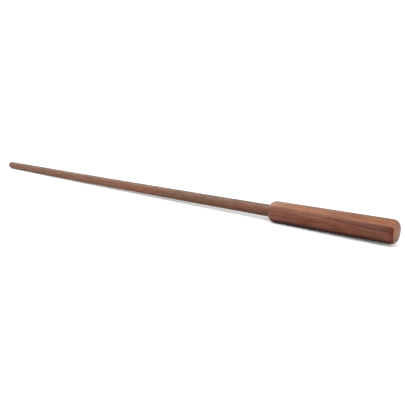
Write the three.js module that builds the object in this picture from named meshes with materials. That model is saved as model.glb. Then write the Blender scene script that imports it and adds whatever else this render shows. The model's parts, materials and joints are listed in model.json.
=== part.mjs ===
// Garden dibber: a long, slim hardwood shaft with a blunt domed tip, glued into a short turned grip.
//
// Units are millimetres and +Z is up. The dibber lies on the plane z = 0, as it does on a bench. It bears on
// the grip's inner shoulder and on the shaft's tip, so the butt stands a little proud of the bench. The butt
// points towards +X and the tip towards -X. The origin is on the bench, under the middle of the dibber.

import * as THREE from 'three';

// Driving dimensions.
const GRIP_DIAMETER = 22;
const GRIP_LENGTH = 121;
const BUTT_ROUNDING = 6.4;
const SHOULDER_LENGTH = 7; // how far the rounding of the grip's inner end reaches along it
const SHAFT_DIAMETER = 12.7; // where it leaves the grip
const TIP_DIAMETER = 11.4; // where the dome begins
const SHAFT_EXPOSED_LENGTH = 515;
const SHAFT_RISE = 2.5; // how far the tip stands above the grip's axis, as slim turned wood bends a little
const TENON_DIAMETER = 9;
const TENON_LENGTH = 38;
const TENON_CHAMFER = 1;
const GLUE_THICKNESS = 0.3;
const JOINT_GAP = 0.3; // between the faces of neighbouring pieces
const SOCKET_DEPTH = 42;
const DRILL_POINT_ANGLE = THREE.MathUtils.degToRad(118);

// Finishes.
const GRIP_WOOD = { color: 0x7d5a46, roughness: 0.45 };
const SHAFT_WOOD = { color: 0x80604f, roughness: 0.55 };
const DRIED_GLUE = { color: 0xc9a46b, roughness: 0.35 };

// How finely round shapes are cut. Every section is a polygon with one flat facing down, and its flats touch
// the true circle.
const SIDES = 24;
const STEPS_PER_QUARTER_ROUND = 6;
const SHAFT_STATIONS = 24;

// Worked out from the driving dimensions.
const GRIP_RADIUS = GRIP_DIAMETER / 2;
const SHAFT_RADIUS = SHAFT_DIAMETER / 2;
const TIP_RADIUS = TIP_DIAMETER / 2;
const TENON_RADIUS = TENON_DIAMETER / 2;
const GLUE_INNER_RADIUS = TENON_RADIUS + JOINT_GAP;
const GLUE_OUTER_RADIUS = GLUE_INNER_RADIUS + GLUE_THICKNESS;
const SOCKET_RADIUS = GLUE_OUTER_RADIUS + JOINT_GAP;
const SOCKET_POINT_LENGTH = SOCKET_RADIUS / Math.tan(DRILL_POINT_ANGLE / 2);
const TOTAL_LENGTH = GRIP_LENGTH + SHAFT_EXPOSED_LENGTH;
const DOME_CENTRE = TOTAL_LENGTH - TIP_RADIUS;

// The grip's inner end has a quarter of an ellipse that brings it down to the shaft's surface.
const SHOULDER_HEIGHT = GRIP_RADIUS - SHAFT_RADIUS;
const SHOULDER_START = GRIP_LENGTH - SHOULDER_LENGTH;

// The dibber rests on two points of its underside: where the grip's inner round begins, and under the middle
// of the tip's dome. The second is nearer the grip's axis, so the axis slopes down towards the tip.
const REST_SPAN = DOME_CENTRE - SHOULDER_START;
const REST_TILT = Math.atan2(GRIP_RADIUS - TIP_RADIUS + riseAt(DOME_CENTRE), REST_SPAN);

// A profile is a list of [distance from the axis, distance from the butt]. It starts and ends on the axis, or
// closes on itself. With the axis upright and the distance from the butt growing upwards, the solid is on the
// left of the profile as it runs.

// A quarter of an ellipse about a centre. It starts at an angle: 0 points away from the axis and 90 degrees
// points away from the butt. Its reach is how far it goes across the axis and along it.
function quarterRound(centreRadius, centreAlong, reachAcross, reachAlong, startAngle) {
  const points = [];
  for (let step = 0; step <= STEPS_PER_QUARTER_ROUND; step++) {
    const angle = startAngle + (Math.PI / 2) * (step / STEPS_PER_QUARTER_ROUND);
    const radius = centreRadius + reachAcross * Math.cos(angle);
    points.push([radius, centreAlong + reachAlong * Math.sin(angle)]);
  }
  return points;
}

// Turns a profile about the X axis, with the butt at x = 0 and the tip towards -X.
function turned(profile) {
  const halfSide = Math.PI / SIDES;
  const cornerScale = 1 / Math.cos(halfSide);
  const points = profile.map(([radius, along]) => new THREE.Vector2(radius * cornerScale, along));
  return new THREE.LatheGeometry(points, SIDES, halfSide).rotateZ(Math.PI / 2);
}

// The height of the bent shaft's middle above the grip's axis. It leaves the grip in line with it.
function riseAt(along) {
  const share = Math.max(0, (along - GRIP_LENGTH) / SHAFT_EXPOSED_LENGTH);
  return SHAFT_RISE * share ** 2;
}

function bendShaft(geometry) {
  const position = geometry.getAttribute('position');
  for (let index = 0; index < position.count; index++) {
    position.setZ(index, position.getZ(index) + riseAt(-position.getX(index)));
  }
  return geometry;
}

function piece(name, geometry, finish) {
  const material = new THREE.MeshStandardMaterial({ ...finish, metalness: 0 });
  const mesh = new THREE.Mesh(geometry, material);
  mesh.name = name;
  return mesh;
}

// The turned grip, with a blind socket for the tenon drilled into its inner end.
function makeGrip() {
  const socketFloor = GRIP_LENGTH - SOCKET_DEPTH;
  const profile = [
    [0, 0],
    ...quarterRound(GRIP_RADIUS - BUTT_ROUNDING, BUTT_ROUNDING, BUTT_ROUNDING, BUTT_ROUNDING, -Math.PI / 2),
    ...quarterRound(SHAFT_RADIUS, SHOULDER_START, SHOULDER_HEIGHT, SHOULDER_LENGTH, 0),
    [SOCKET_RADIUS, GRIP_LENGTH],
    [SOCKET_RADIUS, socketFloor],
    [0, socketFloor - SOCKET_POINT_LENGTH],
  ];
  return piece('grip', turned(profile), GRIP_WOOD);
}

// The shaft: a tenon turned down to fit the socket, a square shoulder against the grip, the long rod with its
// slight taper, and a domed tip.
function makeShaft() {
  const shoulder = GRIP_LENGTH + JOINT_GAP;
  const tenonEnd = GRIP_LENGTH - TENON_LENGTH;
  const rod = [];
  for (let station = 0; station < SHAFT_STATIONS; station++) {
    const share = station / SHAFT_STATIONS;
    const radius = THREE.MathUtils.lerp(SHAFT_RADIUS, TIP_RADIUS, share);
    rod.push([radius, THREE.MathUtils.lerp(shoulder, DOME_CENTRE, share)]);
  }
  const dome = quarterRound(0, DOME_CENTRE, TIP_RADIUS, TIP_RADIUS, 0);
  dome[dome.length - 1] = [0, TOTAL_LENGTH];
  const profile = [
    [0, tenonEnd],
    [TENON_RADIUS - TENON_CHAMFER, tenonEnd],
    [TENON_RADIUS, tenonEnd + TENON_CHAMFER],
    [TENON_RADIUS, shoulder],
    ...rod,
    ...dome,
  ];
  return piece('shaft', bendShaft(turned(profile)), SHAFT_WOOD);
}

// The glue that holds the tenon in the socket: a sleeve that stops short of the socket's mouth.
function makeGlueSleeve() {
  const mouthEnd = GRIP_LENGTH - JOINT_GAP;
  const innerEnd = GRIP_LENGTH - TENON_LENGTH + TENON_CHAMFER;
  const profile = [
    [GLUE_INNER_RADIUS, innerEnd],
    [GLUE_OUTER_RADIUS, innerEnd],
    [GLUE_OUTER_RADIUS, mouthEnd],
    [GLUE_INNER_RADIUS, mouthEnd],
    [GLUE_INNER_RADIUS, innerEnd],
  ];
  return piece('glue_sleeve', turned(profile), DRIED_GLUE);
}

// Tilts the dibber to the way it rests, and puts the origin under the middle of its box.
function layOnBench(...pieces) {
  const stick = new THREE.Group();
  stick.add(...pieces);
  stick.rotation.y = -REST_TILT;
  const box = new THREE.Box3().setFromObject(stick, true);
  const middle = box.getCenter(new THREE.Vector3());
  stick.position.set(-middle.x, -middle.y, -box.min.z);
  return stick;
}

const dibber = new THREE.Group();
dibber.add(layOnBench(makeGrip(), makeShaft(), makeGlueSleeve()));

export default dibber;
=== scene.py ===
"""The garden dibber's looks: a turned walnut grip and shaft on a white sweep, under soft studio light.

Lengths are in metres. Every piece is built in the stick's own frame: the origin is the middle of the butt's
flat face, +X points out of the butt along the grip's axis, and the tip lies towards -X.
"""

import json
import math
from typing import NamedTuple

import bmesh
import bpy
import numpy as np
from mathutils import Euler, Matrix, Vector

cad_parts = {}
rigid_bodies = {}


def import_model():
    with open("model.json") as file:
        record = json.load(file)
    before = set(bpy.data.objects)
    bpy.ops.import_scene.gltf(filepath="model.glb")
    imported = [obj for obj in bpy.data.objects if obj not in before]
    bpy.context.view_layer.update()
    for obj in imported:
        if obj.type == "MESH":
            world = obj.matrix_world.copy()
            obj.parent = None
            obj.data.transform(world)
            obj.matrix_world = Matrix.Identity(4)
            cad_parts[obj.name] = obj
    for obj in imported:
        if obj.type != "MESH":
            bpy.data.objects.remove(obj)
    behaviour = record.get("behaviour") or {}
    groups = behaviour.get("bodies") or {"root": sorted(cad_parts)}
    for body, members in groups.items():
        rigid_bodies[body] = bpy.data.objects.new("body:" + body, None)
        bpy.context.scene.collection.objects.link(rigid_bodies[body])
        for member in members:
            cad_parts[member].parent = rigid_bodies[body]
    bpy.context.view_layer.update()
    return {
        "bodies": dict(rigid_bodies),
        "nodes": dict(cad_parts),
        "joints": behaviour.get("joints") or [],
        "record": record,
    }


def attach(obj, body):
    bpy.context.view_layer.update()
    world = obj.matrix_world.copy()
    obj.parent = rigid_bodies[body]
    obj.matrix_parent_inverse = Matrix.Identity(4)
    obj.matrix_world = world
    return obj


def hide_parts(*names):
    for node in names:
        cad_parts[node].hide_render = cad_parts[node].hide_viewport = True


MM = 0.001

# The camera, in the stick's frame. Its lens and its sensor are in millimetres.
CAMERA_PLACE = Vector((65.2, -358.3, 104.2)) * MM
CAMERA_YAW = math.radians(37.40)
CAMERA_PITCH = math.radians(13.71)
CAMERA_LENS = 35.60
SENSOR_WIDTH = 36.0
NEAREST_SEEN = 10 * MM
FARTHEST_SEEN = 50.0

# The hidden joint, which repeats the sizes of the CAD solids.
TENON_RADIUS = 4.5 * MM
TENON_LENGTH = 38 * MM
TENON_CHAMFER = 1 * MM
SOCKET_RADIUS = 5.4 * MM
SOCKET_DEPTH = 42 * MM
DRILL_POINT_ANGLE = math.radians(118)

# What shows where the shaft enters the grip: a fine gap, and the eased edge of the shaft's shoulder.
JOINT_LINE = 0.04 * MM
EASED_EDGE = 0.25 * MM

# How finely the pieces are cut.
GRIP_SIDES = 160
SHAFT_SIDES = 96
ROUND_STEPS = 20
GRIP_STATION_STEP = 1.5 * MM
SHAFT_STATION_STEP = 3 * MM
SHARP_ANGLE = math.radians(40)

# How far turned wood strays inwards from a true round bar, and the length of its main wave.
GRIP_UNEVENNESS = 0.05 * MM
GRIP_WAVE = 85 * MM
SHAFT_UNEVENNESS = 0.1 * MM
SHAFT_WAVE = 150 * MM

# The waves that the unevenness is made of. Each has a height, a number of turns in one length of the main
# wave, a number of lobes round the stick and a phase.
UNEVEN_WAVES = (
    (1.0, 1.0, 0, 0.6),
    (0.6, 2.3, 2, 1.9),
    (0.4, 0.43, -1, 0.0),
)

# In the CAD nodes, sizes closer than the tolerance are the same, and rings of vertices lie further apart than
# the ring gap.
TOLERANCE = 0.01 * MM
RING_GAP = 0.05 * MM


# ---------------------------------------------------------------- the frame


def stick_frame(record):
    """The stick's frame as a matrix, from the butt face's mount."""
    butt = next(m for m in record["mounts"] if m["name"] == "butt_face")
    along = Vector(butt["axis"]).normalized()
    side = Vector((0, 1, 0))
    up = along.cross(side)
    frame = Matrix((along, side, up)).transposed().to_4x4()
    frame.translation = Vector(butt["pos_m"])
    return frame


class Stick:
    """The dibber's main sizes, from the CAD nodes. Every ring of the CAD shaft has flats at its top and
    bottom, so its highest and lowest points give its middle and its true radius."""

    def __init__(self, nodes, record):
        self.frame = stick_frame(record)
        grip = self.profile(nodes["grip"])
        self.grip_length = grip[-1][0]
        self.butt_flat = grip[0][1]
        self.grip_radius = max(radius for _, radius, _ in grip)
        full_radius = self.grip_radius - TOLERANCE
        self.shoulder_start = max(along for along, radius, _ in grip if radius > full_radius)
        rod = [ring for ring in self.profile(nodes["shaft"]) if ring[0] > self.grip_length]
        self.length = rod[-1][0]
        self.shaft_radius = rod[0][1]
        # The tip's dome begins where its radius is all that is left of the length.
        tip = self.length - TOLERANCE
        self.tip_radius = next(radius for along, radius, _ in rod if along + radius > tip)
        self.rise_stations = [self.grip_length] + [along for along, _, _ in rod]
        self.rise_heights = [0.0] + [height for _, _, height in rod]

    def profile(self, node):
        """The node's rings of vertices, from the butt on. Each has its distance from the butt, its radius and
        the height of its middle."""
        to_stick = self.frame.inverted() @ node.matrix_world
        places = sorted((-place.x, place.z) for place in (to_stick @ v.co for v in node.data.vertices))
        rings = []
        for along, height in places:
            if not rings or along - rings[-1][0] > RING_GAP:
                rings.append((along, []))
            rings[-1][1].append(height)
        return [(along, (max(zs) - min(zs)) / 2, (max(zs) + min(zs)) / 2) for along, zs in rings]

    def rise(self, along):
        """The height of the shaft's middle above the grip's axis."""
        return float(np.interp(along, self.rise_stations, self.rise_heights))


# ---------------------------------------------------------------- meshes


def quarter_round(centre_radius, centre_along, reach_across, reach_along, start_angle):
    """A quarter of an ellipse, as (radius, along) points. It starts at an angle: 0 points away from the axis
    and 90 degrees away from the butt. Its reach is how far it goes across the axis and along it."""
    points = []
    for step in range(ROUND_STEPS + 1):
        angle = start_angle + math.pi / 2 * step / ROUND_STEPS
        radius = centre_radius + reach_across * math.cos(angle)
        points.append((radius, centre_along + reach_along * math.sin(angle)))
    return points


def straight(start, end, step):
    """The (radius, along) points between two others on a straight side, at most about a step apart."""
    count = max(2, round(abs(end[1] - start[1]) / step))
    return [tuple(Vector(start).lerp(Vector(end), i / count)) for i in range(1, count)]


def revolve(name, profile, sides, place):
    """A closed mesh turned from a profile that starts and ends on the axis. place(along, angle, radius) gives
    a vertex, where angle 0 is the top and it grows towards -Y."""
    mesh = bmesh.new()
    rings = []
    for radius, along in profile:
        count = sides if radius > 0 else 1
        rings.append([mesh.verts.new(place(along, 2 * math.pi * i / sides, radius)) for i in range(count)])
    for near, far in zip(rings, rings[1:]):
        for i in range(sides):
            j = (i + 1) % sides
            if len(near) == 1:
                mesh.faces.new((near[0], far[j], far[i]))
            elif len(far) == 1:
                mesh.faces.new((near[i], near[j], far[0]))
            else:
                mesh.faces.new((near[i], near[j], far[j], far[i]))
    bmesh.ops.recalc_face_normals(mesh, faces=mesh.faces)
    data = bpy.data.meshes.new(name)
    mesh.to_mesh(data)
    mesh.free()
    piece = bpy.data.objects.new(name, data)
    bpy.context.scene.collection.objects.link(piece)
    return piece


def smooth_shade(piece):
    """Smooth shading, with the sharp creases kept."""
    piece.data.shade_smooth()
    piece.data.set_sharp_from_angle(angle=SHARP_ANGLE)


def ring_point(along, angle, radius, middle_height=0.0):
    """A point of a ring round the stick. Angle 0 is the top, and it grows towards -Y."""
    return (-along, -radius * math.sin(angle), radius * math.cos(angle) + middle_height)


def unevenness(along, angle, main_wave):
    """A smooth wander from 0 to 1 along and around turned wood, for a main wave of some length."""
    turned = 2 * math.pi * along / main_wave
    wander = 0.0
    for height, turns, lobes, phase in UNEVEN_WAVES:
        wander += height * math.sin(turns * turned + lobes * angle + phase)
    furthest = sum(height for height, _, _, _ in UNEVEN_WAVES)
    return (1 + wander / furthest) / 2


def make_grip(stick):
    radius = stick.grip_radius
    length = stick.grip_length
    butt_round = radius - stick.butt_flat
    shoulder_height = radius - stick.shaft_radius
    shoulder_length = length - stick.shoulder_start
    socket_floor = length - SOCKET_DEPTH
    point_length = SOCKET_RADIUS / math.tan(DRILL_POINT_ANGLE / 2)
    butt = quarter_round(stick.butt_flat, butt_round, butt_round, butt_round, -math.pi / 2)
    shoulder = quarter_round(stick.shaft_radius, stick.shoulder_start, shoulder_height, shoulder_length, 0)
    socket_mouth = (SOCKET_RADIUS, length)
    socket_end = (SOCKET_RADIUS, socket_floor)
    profile = [
        (0, 0),
        *butt,
        *straight(butt[-1], shoulder[0], GRIP_STATION_STEP),
        *shoulder,
        socket_mouth,
        *straight(socket_mouth, socket_end, GRIP_STATION_STEP),
        socket_end,
        (0, socket_floor - point_length),
    ]

    def place(along, angle, ring_radius):
        """The side strays in full, and the socket and the middle of the butt stay true."""
        stray = GRIP_UNEVENNESS * unevenness(along, angle, GRIP_WAVE)
        share = max(0.0, 2 * ring_radius / radius - 1)
        return ring_point(along, angle, ring_radius - stray * share)

    piece = revolve("turned_grip", profile, GRIP_SIDES, place)
    smooth_shade(piece)
    return piece


def make_shaft(stick):
    shoulder = stick.grip_length + JOINT_LINE
    tenon_end = stick.grip_length - TENON_LENGTH
    tenon_start = (TENON_RADIUS, tenon_end + TENON_CHAMFER)
    tenon_root = (TENON_RADIUS, shoulder)
    rod_start = (stick.shaft_radius, shoulder + EASED_EDGE)
    dome = quarter_round(0, stick.length - stick.tip_radius, stick.tip_radius, stick.tip_radius, 0)
    profile = [
        (0, tenon_end),
        (TENON_RADIUS - TENON_CHAMFER, tenon_end),
        tenon_start,
        *straight(tenon_start, tenon_root, SHAFT_STATION_STEP),
        tenon_root,
        (stick.shaft_radius - EASED_EDGE, shoulder),
        rod_start,
        *straight(rod_start, dome[0], SHAFT_STATION_STEP),
        *dome[:-1],
        (0, stick.length),
    ]

    def place(along, angle, ring_radius):
        stray = SHAFT_UNEVENNESS * unevenness(along, angle, SHAFT_WAVE)
        share = ring_radius / stick.shaft_radius
        return ring_point(along, angle, ring_radius - stray * share, stick.rise(along))

    piece = revolve("turned_shaft", profile, SHAFT_SIDES, place)
    smooth_shade(piece)
    return piece


# ---------------------------------------------------------------- materials


class Field(NamedTuple):
    """A noise field. It has so many features per metre along the stick and across it. Each offset gives a
    different field, and a turn takes its square lattice out of line with flat faces."""

    along: float
    across: float
    offset: float
    detail: float = 2.0
    roughness: float = 0.5
    turn: tuple = (0, 0, 0)


class Tree:
    """A material's node tree. Most methods add nodes and return an output socket."""

    def __init__(self, name):
        self.material = bpy.data.materials.new(name)
        self.material.use_nodes = True
        self.nodes = self.material.node_tree.nodes
        self.links = self.material.node_tree.links
        self.shader = self.nodes["Principled BSDF"]

    def feed(self, socket, value):
        """Wires an output socket into an input, or sets a plain value on it."""
        if isinstance(value, bpy.types.NodeSocket):
            self.links.new(value, socket)
        else:
            socket.default_value = value

    def object_place(self):
        return self.nodes.new("ShaderNodeTexCoord").outputs["Object"]

    def mapped(self, kind, place, **inputs):
        """A place after a mapping. The kind POINT scales it, turns it and moves it, and TEXTURE undoes
        that."""
        node = self.nodes.new("ShaderNodeMapping")
        node.vector_type = kind
        self.feed(node.inputs["Vector"], place)
        for name, value in inputs.items():
            self.feed(node.inputs[name], value)
        return node.outputs["Vector"]

    def stick_place(self, stick):
        """Where a point lies in the stick's own frame."""
        origin = stick.frame.to_translation()
        return self.mapped("TEXTURE", self.object_place(), Location=origin, Rotation=stick.frame.to_euler())

    def split(self, vector):
        node = self.nodes.new("ShaderNodeSeparateXYZ")
        self.feed(node.inputs[0], vector)
        return node.outputs

    def math(self, operation, *values):
        node = self.nodes.new("ShaderNodeMath")
        node.operation = operation
        for socket, value in zip(node.inputs, values):
            self.feed(socket, value)
        return node.outputs[0]

    def add(self, first, second):
        return self.math("ADD", first, second)

    def subtract(self, first, second):
        return self.math("SUBTRACT", first, second)

    def multiply(self, first, second):
        return self.math("MULTIPLY", first, second)

    def fade(self, value, low, high, start=0.0, end=1.0):
        """Goes smoothly from start to end as value goes from low to high."""
        node = self.nodes.new("ShaderNodeMapRange")
        node.interpolation_type = "SMOOTHSTEP"
        names = ("Value", "From Min", "From Max", "To Min", "To Max")
        for name, number in zip(names, (value, low, high, start, end)):
            self.feed(node.inputs[name], number)
        return node.outputs["Result"]

    def fall(self, value, low, high):
        """Goes smoothly from 1 to 0 as value goes from low to high."""
        return self.fade(value, low, high, start=1.0, end=0.0)

    def near(self, value, middle, core, reach):
        """1 where value is within core of the middle, falling smoothly to 0 at reach from it."""
        return self.fall(self.math("ABSOLUTE", self.subtract(value, middle)), core, reach)

    def noise(self, place, field):
        """The value of a noise field at a place, from 0 to 1."""
        scale = (field.along, field.across, field.across)
        node = self.nodes.new("ShaderNodeTexNoise")
        node.noise_dimensions = "4D"
        self.feed(node.inputs["Vector"], self.mapped("POINT", place, Scale=scale, Rotation=field.turn))
        self.feed(node.inputs["W"], field.offset)
        self.feed(node.inputs["Scale"], 1.0)
        self.feed(node.inputs["Detail"], field.detail)
        self.feed(node.inputs["Roughness"], field.roughness)
        return node.outputs["Fac"]

    def wander(self, place, field, reach):
        """A noise field's value brought to lie about 0, within half the reach either way."""
        return self.multiply(self.subtract(self.noise(place, field), 0.5), reach)

    def mix(self, share, first, second, blend="MIX"):
        """Goes from the first colour to the second as the share goes from 0 to 1."""
        node = self.nodes.new("ShaderNodeMix")
        node.data_type = "RGBA"
        node.blend_type = blend
        self.feed(node.inputs["Factor"], share)
        sockets = [s for s in node.inputs if s.type == "RGBA"]
        for socket, colour in zip(sockets, (first, second)):
            self.feed(socket, colour)
        return next(s for s in node.outputs if s.type == "RGBA")

    def tint(self, share, colour, tint):
        """Multiplies a share of a colour by a tint."""
        return self.mix(share, colour, tint, "MULTIPLY")

    def bump(self, height, distance):
        node = self.nodes.new("ShaderNodeBump")
        self.feed(node.inputs["Height"], height)
        self.feed(node.inputs["Distance"], distance)
        return node.outputs["Normal"]

    def finish(self, colour, roughness, normal, gloss=0.5):
        """Wires up the shader and returns the material."""
        self.feed(self.shader.inputs["Base Color"], colour)
        self.feed(self.shader.inputs["Roughness"], roughness)
        self.feed(self.shader.inputs["Normal"], normal)
        self.feed(self.shader.inputs["Specular IOR Level"], gloss)
        return self.material


def rgb(red, green, blue):
    return (red, green, blue, 1.0)


def grey(level):
    return rgb(level, level, level)


# The woods' colours, and the painted sheen and shade laid over them, as linear red, green and blue.
SAPWOOD_ORANGE = rgb(0.182, 0.076, 0.043)
SAPWOOD_BRIGHT = rgb(0.225, 0.090, 0.040)
SAPWOOD_PALE = rgb(0.225, 0.108, 0.071)
SAPWOOD_ASHEN = rgb(0.290, 0.175, 0.130)
SAPWOOD_PINK = rgb(0.165, 0.080, 0.055)
HEARTWOOD_PALE = rgb(0.132, 0.058, 0.039)
HEARTWOOD_DEEP = rgb(0.099, 0.036, 0.022)
HEARTWOOD_PURPLE = rgb(0.086, 0.034, 0.025)
LATE_WOOD_TINT = rgb(0.55, 0.42, 0.38)
MOTTLE_DARK = rgb(0.88, 0.86, 0.84)
MOTTLE_LIGHT = rgb(1.10, 1.12, 1.14)
GROWTH_LINE = rgb(0.045, 0.016, 0.011)
# Painted shade: a very dark streak low along the grip's front, where its underside lies in shade near the
# floor.
PAINTED_SHADE_STREAK = rgb(0.020, 0.004, 0.002)
RED_EDGE = rgb(0.062, 0.011, 0.004)
END_GRAIN = rgb(0.170, 0.086, 0.057)
END_GRAIN_RING = rgb(0.128, 0.060, 0.038)
# Painted shade: the end grain of the butt darker and duller low down, where less light falls.
END_GRAIN_SHADE = rgb(0.108, 0.076, 0.059)
SHAFT_BROWN = rgb(0.126, 0.063, 0.042)
SHAFT_RED = rgb(0.142, 0.060, 0.036)
SHAFT_PURPLE = rgb(0.122, 0.049, 0.044)
SHAFT_PALE = rgb(0.130, 0.073, 0.050)
SHAFT_WORN_END = rgb(0.080, 0.060, 0.046)
# A darker tone of the shaft near the grip, together with painted shade on the shaft's low side there.
NEAR_GRIP_TONE_AND_SHADE_TINT = rgb(0.50, 0.50, 0.52)
# Painted sheen: the grey of the bright surround reflected along the top of the grip and the shaft, greyer
# near the butt.
PAINTED_SHEEN_TOP = rgb(0.190, 0.128, 0.102)
PAINTED_SHEEN_BUTT = rgb(0.130, 0.095, 0.080)
PORE = rgb(0.050, 0.020, 0.013)

# The other colours.
GLUE_DARK = rgb(0.42, 0.25, 0.10)
GLUE_LIGHT = rgb(0.62, 0.42, 0.20)
SWEEP_DARK = grey(0.92)
SWEEP_LIGHT = grey(0.94)

# Gloss, roughness and the height of the surface's relief.
WORN_GLOSS = 0.04
GRIP_ROUGHNESS = 0.47
SHAFT_ROUGHNESS = 0.57
GLUE_ROUGHNESS = (0.28, 0.45)
SWEEP_ROUGHNESS = 0.9
GRAIN_HEIGHT = 0.05 * MM
GLUE_HEIGHT = 0.05 * MM
SWEEP_HEIGHT = 0.02 * MM

# The noise fields.
OFF_LATTICE = (math.radians(33), math.radians(21), math.radians(27))
FIBRES = Field(along=45, across=1600, offset=3.1, detail=4, roughness=0.6, turn=OFF_LATTICE)
PORES = Field(along=170, across=3600, offset=7.7, turn=OFF_LATTICE)
LOG_DRIFT = Field(along=14, across=60, offset=1.3)
GLOW = Field(along=26, across=240, offset=6.6)
GRIP_MOTTLE = Field(along=55, across=300, offset=9.2, turn=OFF_LATTICE)
GRIP_FINE_MOTTLE = Field(along=110, across=750, offset=3.7, turn=OFF_LATTICE)
SHAFT_MOTTLE = Field(along=90, across=330, offset=1.7, turn=OFF_LATTICE)
SHAFT_BLOTCHES = Field(along=16, across=120, offset=4.6, detail=3, roughness=0.55)
SHAFT_FLECKS = Field(along=42, across=150, offset=8.4)
# The ragged edge of the painted sheen on the shaft's top.
SHEEN_RAGGED_EDGE = Field(along=30, across=400, offset=2.9, detail=3, roughness=0.6)
GLUE_CLOUDS = Field(along=300, across=300, offset=2.2, detail=3)
SWEEP_TOOTH = Field(along=900, across=900, offset=4.4)

# The levels of a noise field between which a feature sets in. Most of a field lies in its middle.
NOISE_MIDDLE = (0.3, 0.7)
PORE_LEVELS = (0.62, 0.72)
GLOW_LEVELS = (0.42, 0.60)
BLOTCH_LEVELS = (0.40, 0.60)
FLECK_LEVELS = (0.56, 0.70)

# How strongly things show, as shares. The fibres' height is a share of the pores' depth.
GRIP_CONTRAST = 0.14
SHAFT_CONTRAST = 0.18
PORE_STRENGTH = 0.5
FIBRE_HEIGHT = 0.3
FLAME_STRENGTH = 0.7
LATE_WOOD_STRENGTH = 0.4
END_RING_STRENGTH = 0.5
KNOT_STRENGTH = 0.9

# The grip's figure lies in sheets that its log grew one after another. A sheet's depth is its distance from
# the grip's axis towards LOG_MIDDLE, an angle round the stick.
LOG_MIDDLE = math.radians(105)
LOG_WANDER = 0.9 * MM
RING_STEP = 1.4 * MM
STREAK_DEPTH = 6.3 * MM
BAND_DEPTH = 7.5 * MM
BAND_BLUR = 1.9 * MM
HEART_DEPTH = 10.6 * MM
LINE_DEPTH_AT_BUTT = 9.65 * MM
LINE_DEPTH_PAST_KNOT = 8.2 * MM
KNOT_DEPTH = 8.4 * MM
FLAME_DEPTH = 8.9 * MM
RED_EDGE_DEPTHS = (BAND_DEPTH - 0.8 * MM, BAND_DEPTH)
RED_WEAKENS = (8.8 * MM, 10.2 * MM)

# Within a growth ring, from 0 to 1, where the late wood starts and where it is darkest.
LATE_WOOD_START = 0.45
LATE_WOOD_PEAK = 0.95

# How far from its middle each line starts to fade and is gone. The purple fades past the growth line.
PINK_STREAK_WIDTH = (0.1 * MM, 0.9 * MM)
GROWTH_LINE_WIDTH = (0.1 * MM, 0.8 * MM)
PURPLE_PAST_LINE = (0.1 * MM, 0.9 * MM)

# Places along the grip, as distances from the butt. A pair is where a change starts and where it is complete.
KNOT_ALONG = 58 * MM
FLAME_ALONG = 77 * MM
PALE_END_START = 95 * MM
SAPWOOD_PALES = (20 * MM, PALE_END_START)
SAPWOOD_TURNS_ASHEN = (PALE_END_START, 120 * MM)
HEARTWOOD_PALES = (PALE_END_START, 118 * MM)
PALE_BUTT_ENDS = (5 * MM, 35 * MM)
GLOW_WEAKENS = (15 * MM, 60 * MM)
PINK_STREAK_ENDS = (KNOT_ALONG, 85 * MM)
PURPLE_ENDS = (24 * MM, KNOT_ALONG)
BAND_BLURS = (45 * MM, 75 * MM)
LINE_CLIMBS = (16 * MM, 62 * MM)
LINE_WEAKENS = (50 * MM, 62 * MM)
LINE_ENDS = (FLAME_ALONG, 96 * MM)
# Where the painted sheen near the butt gives way to the sheen along the rest of the grip's top.
SHEEN_NEAR_BUTT_ENDS = (8 * MM, 45 * MM)
END_GRAIN_REACH = 2.6 * MM
END_GRAIN_ENDS = (END_GRAIN_REACH - 0.5 * MM, END_GRAIN_REACH + 0.5 * MM)
RED_EDGE_STARTS = (END_GRAIN_REACH - 0.5 * MM, END_GRAIN_REACH + 0.3 * MM)
RED_EDGE_ENDS = (4.2 * MM, 6.6 * MM)

# The reach of each oval patch along the grip and in depth, and the share of it that is at full strength.
KNOT_REACH = (2.4 * MM, 0.7 * MM)
FLAME_REACH = (18 * MM, 1.1 * MM)
OVAL_CORE = 0.2

# How far from the grip's axis things set in, upwards and towards the dark streak's side: the painted sheen on
# the top, the painted shade low on the end grain and the painted shade of the dark streak.
GRIP_SHEEN_HEIGHTS = (9 * MM, 11 * MM)
END_GRAIN_SHADED_BELOW = (-9 * MM, 1 * MM)
SHADE_STREAK_SIDE = math.radians(165)
SHADE_STREAK_REACH = (7.0 * MM, 9.4 * MM)

# Places along the shaft, as distances from the butt or from the tip, and heights above its middle.
DARKER_NEAR_GRIP_REACH = 400 * MM
SHAFT_PALES = (400 * MM, 620 * MM)
WORN_END_LENGTH = 9 * MM
WORN_FULLY_LENGTH = 2 * MM
# The heights where the painted sheen on the shaft's top sets in, and how ragged its edge is.
SHAFT_SHEEN_HEIGHTS = (2.4 * MM, 6.4 * MM)
SHAFT_SHEEN_RAGGEDNESS = 3 * MM
LOW_TO_HIGH_SIDE = (-4 * MM, 4 * MM)


def wood_grain(tree, place, colour, contrast):
    """Lays fine fibres and open pores along the grain over a colour. The pores are short dashes on a side and
    dots on the end grain. Returns the colour and the height that goes with it."""
    fibres = tree.fade(tree.noise(place, FIBRES), *NOISE_MIDDLE)
    pores = tree.fade(tree.noise(place, PORES), *PORE_LEVELS)
    colour = tree.tint(1.0, colour, tree.mix(fibres, grey(1 - contrast), grey(1 + contrast)))
    colour = tree.mix(tree.multiply(pores, PORE_STRENGTH), colour, PORE)
    return colour, tree.subtract(tree.multiply(fibres, FIBRE_HEIGHT), pores)


def mottled(tree, place, field, colour):
    """Adds a slow mottle of darker and lighter patches to a colour."""
    mottle = tree.fade(tree.noise(place, field), *NOISE_MIDDLE)
    return tree.tint(1.0, colour, tree.mix(mottle, MOTTLE_DARK, MOTTLE_LIGHT))


def distance_from_butt(tree, place):
    """How far each point lies from the butt along the stick."""
    x, _, _ = tree.split(place)
    return tree.multiply(x, -1.0)


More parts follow.
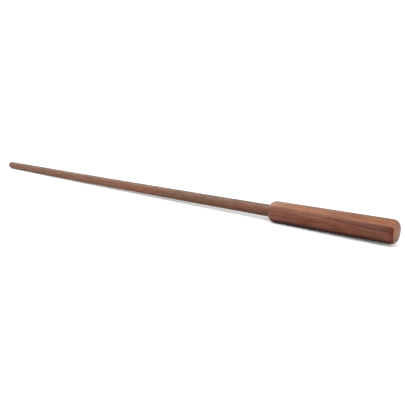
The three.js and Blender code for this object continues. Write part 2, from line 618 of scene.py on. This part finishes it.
def reach_towards(tree, place, angle):
    """How far each point lies from the stick's axis towards an angle round it. The angle 0 is the top, and it
    grows towards -Y."""
    _, y, z = tree.split(place)
    return tree.add(tree.multiply(y, -math.sin(angle)), tree.multiply(z, math.cos(angle)))


def height_above_axis(tree, place):
    """How far each point lies above the grip's axis."""
    return reach_towards(tree, place, 0.0)


def log_depth(tree, place):
    """The depth of each point of the grip in its log, with the slow wander of real sheets."""
    return tree.add(reach_towards(tree, place, LOG_MIDDLE), tree.wander(place, LOG_DRIFT, LOG_WANDER))


def oval(tree, along, depth, middle, reach):
    """1 about the middle of an oval patch, falling smoothly to 0 at its rim. The middle and the reach are
    (along, depth) pairs."""
    along_share = tree.multiply(tree.subtract(along, middle[0]), 1 / reach[0])
    depth_share = tree.multiply(tree.subtract(depth, middle[1]), 1 / reach[1])
    squares = [tree.multiply(share, share) for share in (along_share, depth_share)]
    return tree.fall(tree.math("SQRT", tree.add(*squares)), OVAL_CORE, 1.0)


def sapwood(tree, place, along, depth):
    """The light band along the top: orange near the butt, ashen at the shaft, with a pink streak near its
    edge."""
    colour = tree.mix(tree.fade(along, *SAPWOOD_PALES), SAPWOOD_ORANGE, SAPWOOD_PALE)
    colour = tree.mix(tree.fade(along, *SAPWOOD_TURNS_ASHEN, end=0.8), colour, SAPWOOD_ASHEN)
    glow = tree.fade(tree.noise(place, GLOW), *GLOW_LEVELS)
    near_butt = tree.fade(along, *GLOW_WEAKENS, start=0.8, end=0.25)
    colour = tree.mix(tree.multiply(glow, near_butt), colour, SAPWOOD_BRIGHT)
    streak = tree.near(depth, STREAK_DEPTH, *PINK_STREAK_WIDTH)
    before_flame = tree.fade(along, *PINK_STREAK_ENDS, start=0.75, end=0.0)
    return tree.mix(tree.multiply(streak, before_flame), colour, SAPWOOD_PINK)


def heartwood(tree, along, depth, past_line):
    """The reddish brown below the band: paler near the band and at both ends, and purple between the band and
    the growth line."""
    colour = tree.mix(tree.fade(depth, BAND_DEPTH, HEART_DEPTH), HEARTWOOD_PALE, HEARTWOOD_DEEP)
    colour = tree.mix(tree.fade(along, *HEARTWOOD_PALES, end=0.8), colour, HEARTWOOD_PALE)
    colour = tree.mix(tree.fade(along, *PALE_BUTT_ENDS, start=0.4, end=0.0), colour, HEARTWOOD_PALE)
    above_line = tree.fall(past_line, *PURPLE_PAST_LINE)
    before_knot = tree.fall(along, *PURPLE_ENDS)
    return tree.mix(tree.multiply(above_line, before_knot), colour, HEARTWOOD_PURPLE)


def band_share(tree, along, depth):
    """1 in the sapwood band. Its edge is crisp near the butt and blurred towards the shaft."""
    blur = tree.fade(along, *BAND_BLURS, end=BAND_BLUR)
    return tree.fall(depth, tree.subtract(STREAK_DEPTH, blur), BAND_DEPTH)


def late_wood(tree, past_line):
    """The dark side of each growth ring, from 0 to 1. It comes on slowly and stops short."""
    ring = tree.math("FRACT", tree.multiply(past_line, 1 / RING_STEP))
    slow_start = tree.fade(ring, LATE_WOOD_START, LATE_WOOD_PEAK)
    return tree.multiply(slow_start, tree.fall(ring, LATE_WOOD_PEAK, 1.0))


def growth_line(tree, along, depth, past_line, colour):
    """Adds the dark line that runs from the butt to a small knot, and fades out beyond it."""
    line = tree.near(past_line, 0.0, *GROWTH_LINE_WIDTH)
    weaker_past_knot = tree.fade(along, *LINE_WEAKENS, start=0.65, end=0.35)
    strength = tree.multiply(weaker_past_knot, tree.fall(along, *LINE_ENDS))
    colour = tree.mix(tree.multiply(line, strength), colour, GROWTH_LINE)
    knot = oval(tree, along, depth, (KNOT_ALONG, KNOT_DEPTH), KNOT_REACH)
    return tree.mix(tree.multiply(knot, KNOT_STRENGTH), colour, GROWTH_LINE)


def grip_mottle_sheen_and_shade(tree, place, along, colour):
    """Adds the mottle of handling, a painted sheen that greys the top, and painted shade as a very dark
    streak low along the front.
    """
    colour = mottled(tree, place, GRIP_MOTTLE, colour)
    colour = mottled(tree, place, GRIP_FINE_MOTTLE, colour)
    # Painted sheen: a grey reflection laid over the grip's top.
    sheen_colour = tree.mix(tree.fade(along, *SHEEN_NEAR_BUTT_ENDS), PAINTED_SHEEN_BUTT, PAINTED_SHEEN_TOP)
    sheen_share = tree.fade(height_above_axis(tree, place), *GRIP_SHEEN_HEIGHTS, end=0.4)
    colour = tree.mix(sheen_share, colour, sheen_colour)
    # Painted shade: the dark streak low along the front, where the underside lies in shade.
    in_shade_streak = tree.fade(reach_towards(tree, place, SHADE_STREAK_SIDE), *SHADE_STREAK_REACH)
    return tree.mix(in_shade_streak, colour, PAINTED_SHADE_STREAK)


def butt_end(tree, place, along, depth, rings, colour):
    """Adds the end grain of the butt, with painted shade that darkens it low down, and the dark red edge
    round it below the band.
    """
    in_edge = tree.multiply(tree.fade(along, *RED_EDGE_STARTS), tree.fall(along, *RED_EDGE_ENDS))
    below_band = tree.fade(depth, *RED_EDGE_DEPTHS)
    weaker_deep_down = tree.fade(depth, *RED_WEAKENS, start=0.9, end=0.45)
    red = tree.multiply(in_edge, tree.multiply(below_band, weaker_deep_down))
    end_grain = tree.mix(tree.multiply(rings, END_RING_STRENGTH), END_GRAIN, END_GRAIN_RING)
    # Painted shade on the lower part of the end grain.
    end_grain_low_shade = tree.fade(height_above_axis(tree, place), *END_GRAIN_SHADED_BELOW, start=0.7, end=0.0)
    end_grain = tree.mix(end_grain_low_shade, end_grain, END_GRAIN_SHADE)
    at_end = tree.fall(along, *END_GRAIN_ENDS)
    return tree.mix(at_end, tree.mix(red, colour, RED_EDGE), end_grain)


def grip_wood(stick):
    tree = Tree("grip_walnut")
    place = tree.stick_place(stick)
    along = distance_from_butt(tree, place)
    depth = log_depth(tree, place)
    line_depth = tree.fade(along, *LINE_CLIMBS, start=LINE_DEPTH_AT_BUTT, end=LINE_DEPTH_PAST_KNOT)
    past_line = tree.subtract(depth, line_depth)
    rings = late_wood(tree, past_line)

    dark_side = heartwood(tree, along, depth, past_line)
    light_side = sapwood(tree, place, along, depth)
    colour = tree.mix(band_share(tree, along, depth), dark_side, light_side)
    flame = oval(tree, along, depth, (FLAME_ALONG, FLAME_DEPTH), FLAME_REACH)
    colour = tree.mix(tree.multiply(flame, FLAME_STRENGTH), colour, SAPWOOD_PINK)
    colour = tree.tint(tree.multiply(rings, LATE_WOOD_STRENGTH), colour, LATE_WOOD_TINT)
    colour = growth_line(tree, along, depth, past_line, colour)
    colour = grip_mottle_sheen_and_shade(tree, place, along, colour)
    colour = butt_end(tree, place, along, depth, rings, colour)
    colour, height = wood_grain(tree, place, colour, GRIP_CONTRAST)
    return tree.finish(colour, GRIP_ROUGHNESS, tree.bump(height, GRAIN_HEIGHT), WORN_GLOSS)


def height_above_shaft(tree, place, along, stick):
    """The height of each point above the middle of the bent shaft. The middle rises with the square of the
    distance from the grip."""
    share = tree.multiply(tree.subtract(along, stick.grip_length), 1 / (stick.length - stick.grip_length))
    rise = tree.multiply(tree.multiply(share, share), stick.rise(stick.length))
    return tree.subtract(height_above_axis(tree, place), rise)


def shaft_sheen_shade_and_worn_end(tree, place, along, height_above, colour, stick):
    """Adds a painted sheen that greys the top with a ragged edge, a darker tone near the grip with painted
    shade on its low side, and the dull worn end of the tip.
    """
    # Painted sheen: a grey reflection laid over the shaft's top, with a ragged edge.
    ragged_sheen_height = tree.add(height_above, tree.wander(place, SHEEN_RAGGED_EDGE, SHAFT_SHEEN_RAGGEDNESS))
    sheen_share = tree.fade(ragged_sheen_height, *SHAFT_SHEEN_HEIGHTS, end=0.95)
    colour = tree.mix(sheen_share, colour, PAINTED_SHEEN_TOP)
    near_grip = tree.fade(along, stick.grip_length, DARKER_NEAR_GRIP_REACH, start=0.9, end=0.0)
    # Painted shade on the low side, on top of a darker tone near the grip.
    low_side_shade = tree.fade(height_above, *LOW_TO_HIGH_SIDE, start=1.0, end=0.4)
    colour = tree.tint(tree.multiply(near_grip, low_side_shade), colour, NEAR_GRIP_TONE_AND_SHADE_TINT)
    worn_start = stick.length - WORN_END_LENGTH
    worn_fully = stick.length - WORN_FULLY_LENGTH
    return tree.mix(tree.fade(along, worn_start, worn_fully, end=0.7), colour, SHAFT_WORN_END)


def shaft_wood(stick):
    tree = Tree("shaft_walnut")
    place = tree.stick_place(stick)
    along = distance_from_butt(tree, place)
    height_above = height_above_shaft(tree, place, along, stick)

    blotches = tree.fade(tree.noise(place, SHAFT_BLOTCHES), *BLOTCH_LEVELS)
    colour = tree.mix(blotches, SHAFT_BROWN, SHAFT_RED)
    flecks = tree.fade(tree.noise(place, SHAFT_FLECKS), *FLECK_LEVELS, end=0.7)
    colour = tree.mix(flecks, colour, SHAFT_PURPLE)
    colour = tree.mix(tree.fade(along, *SHAFT_PALES, end=0.8), colour, SHAFT_PALE)
    colour = shaft_sheen_shade_and_worn_end(tree, place, along, height_above, colour, stick)
    colour = mottled(tree, place, SHAFT_MOTTLE, colour)
    colour, height = wood_grain(tree, place, colour, SHAFT_CONTRAST)
    return tree.finish(colour, SHAFT_ROUGHNESS, tree.bump(height, GRAIN_HEIGHT), WORN_GLOSS)


def dried_glue():
    tree = Tree("dried_glue")
    clouds = tree.noise(tree.object_place(), GLUE_CLOUDS)
    colour = tree.mix(clouds, GLUE_DARK, GLUE_LIGHT)
    roughness = tree.fade(clouds, *NOISE_MIDDLE, *GLUE_ROUGHNESS)
    return tree.finish(colour, roughness, tree.bump(clouds, GLUE_HEIGHT))


def white_sweep():
    tree = Tree("white_sweep")
    tooth = tree.noise(tree.object_place(), SWEEP_TOOTH)
    colour = tree.mix(tooth, SWEEP_DARK, SWEEP_LIGHT)
    return tree.finish(colour, SWEEP_ROUGHNESS, tree.bump(tooth, SWEEP_HEIGHT))


# ---------------------------------------------------------------- the studio


class SoftBox(NamedTuple):
    """A rectangular light: where it stands, the point that it faces, its two sides and its power."""

    place: tuple
    target: tuple
    size: tuple
    watts: float


# The key light stands high in front of the stick, and the fill light is low beyond the butt.
KEY_LIGHT = SoftBox(place=(0.1, -1.0, 1.08), target=(0.1, 0, 0), size=(1.2, 1.0), watts=19)
FILL_LIGHT = SoftBox(place=(0.95, -0.45, 0.30), target=(0.3, 0, 0), size=(0.6, 0.4), watts=3)
SURROUND_STRENGTH = 1.1
FLOOR_REACH = 8.0


def make_camera(stick):
    data = bpy.data.cameras.new("camera")
    data.lens = CAMERA_LENS
    data.sensor_width = SENSOR_WIDTH
    data.clip_start = NEAREST_SEEN
    data.clip_end = FARTHEST_SEEN
    camera = bpy.data.objects.new("camera", data)
    bpy.context.scene.collection.objects.link(camera)
    turn = Euler((math.pi / 2 - CAMERA_PITCH, 0, CAMERA_YAW)).to_matrix().to_4x4()
    camera.matrix_world = stick.frame @ Matrix.Translation(CAMERA_PLACE) @ turn
    bpy.context.scene.camera = camera


def make_floor():
    mesh = bpy.data.meshes.new("floor")
    corners = [(x * FLOOR_REACH, y * FLOOR_REACH, 0) for x, y in ((-1, -1), (1, -1), (1, 1), (-1, 1))]
    mesh.from_pydata(corners, [], [(0, 1, 2, 3)])
    floor = bpy.data.objects.new("floor", mesh)
    bpy.context.scene.collection.objects.link(floor)
    mesh.materials.append(white_sweep())


def make_soft_box(name, box):
    data = bpy.data.lights.new(name, "AREA")
    data.shape = "RECTANGLE"
    data.size, data.size_y = box.size
    data.energy = box.watts
    light = bpy.data.objects.new(name, data)
    light.location = box.place
    light.rotation_euler = (Vector(box.target) - Vector(box.place)).to_track_quat("-Z", "Y").to_euler()
    bpy.context.scene.collection.objects.link(light)


def make_lights():
    world = bpy.data.worlds.new("studio")
    world.use_nodes = True
    background = world.node_tree.nodes["Background"]
    background.inputs["Color"].default_value = grey(1.0)
    background.inputs["Strength"].default_value = SURROUND_STRENGTH
    bpy.context.scene.world = world
    make_soft_box("key", KEY_LIGHT)
    make_soft_box("fill", FILL_LIGHT)


def set_view():
    settings = bpy.context.scene.view_settings
    settings.view_transform = "Standard"
    settings.look = "None"


def main():
    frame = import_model()
    stick = Stick(frame["nodes"], frame["record"])

    make_camera(stick)
    make_floor()
    make_lights()
    set_view()

    grip = make_grip(stick)
    shaft = make_shaft(stick)
    for piece, node, slot, wood in (
        (grip, "grip", "grip_wood", grip_wood(stick)),
        (shaft, "shaft", "shaft_wood", shaft_wood(stick)),
    ):
        piece.data.transform(stick.frame)
        piece.data.materials.append(wood)
        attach(piece, "root")
        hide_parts(node)
    glue = frame["nodes"]["glue_sleeve"]
    glue.data.materials.clear()
    glue.data.materials.append(dried_glue())


main()
